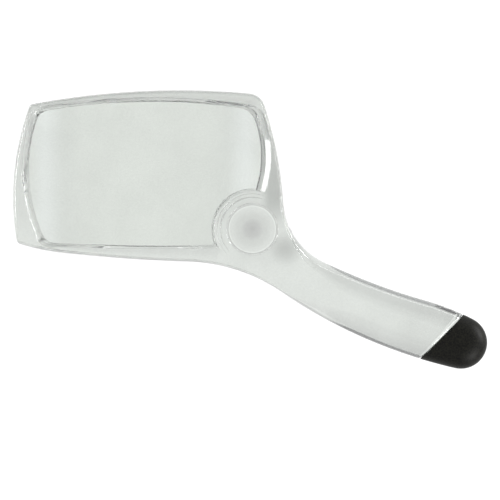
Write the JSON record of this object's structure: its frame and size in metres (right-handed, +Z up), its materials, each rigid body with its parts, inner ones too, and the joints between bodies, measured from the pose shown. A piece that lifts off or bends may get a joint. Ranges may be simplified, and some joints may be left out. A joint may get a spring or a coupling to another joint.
{
  "type": "magnifying glass",
  "caption": "Clear acrylic hand magnifier with a rectangular reading lens, a small high-power spot lens and a curved handle with a black end cap.",
  "frame": {"origin": "middle of the outline's bounding box, on the plane that the glass rests on when it lies flat", "axes": "+X along the length, from the rim towards the handle's cap; +Y across it, towards the rim's long top edge; +Z up through the thickness"},
  "size_m": [0.204, 0.12, 0.013],
  "materials": {
    "clear_acrylic": "polished clear acrylic",
    "lens_acrylic": "optically polished clear acrylic, very slightly green",
    "black_plastic": "satin black moulded plastic"
  },
  "bodies": {
    "root": {"frame": "clear_acrylic", "main_lens": "lens_acrylic", "spot_lens": "lens_acrylic", "end_cap": "black_plastic"}
  },
  "joints": []
}
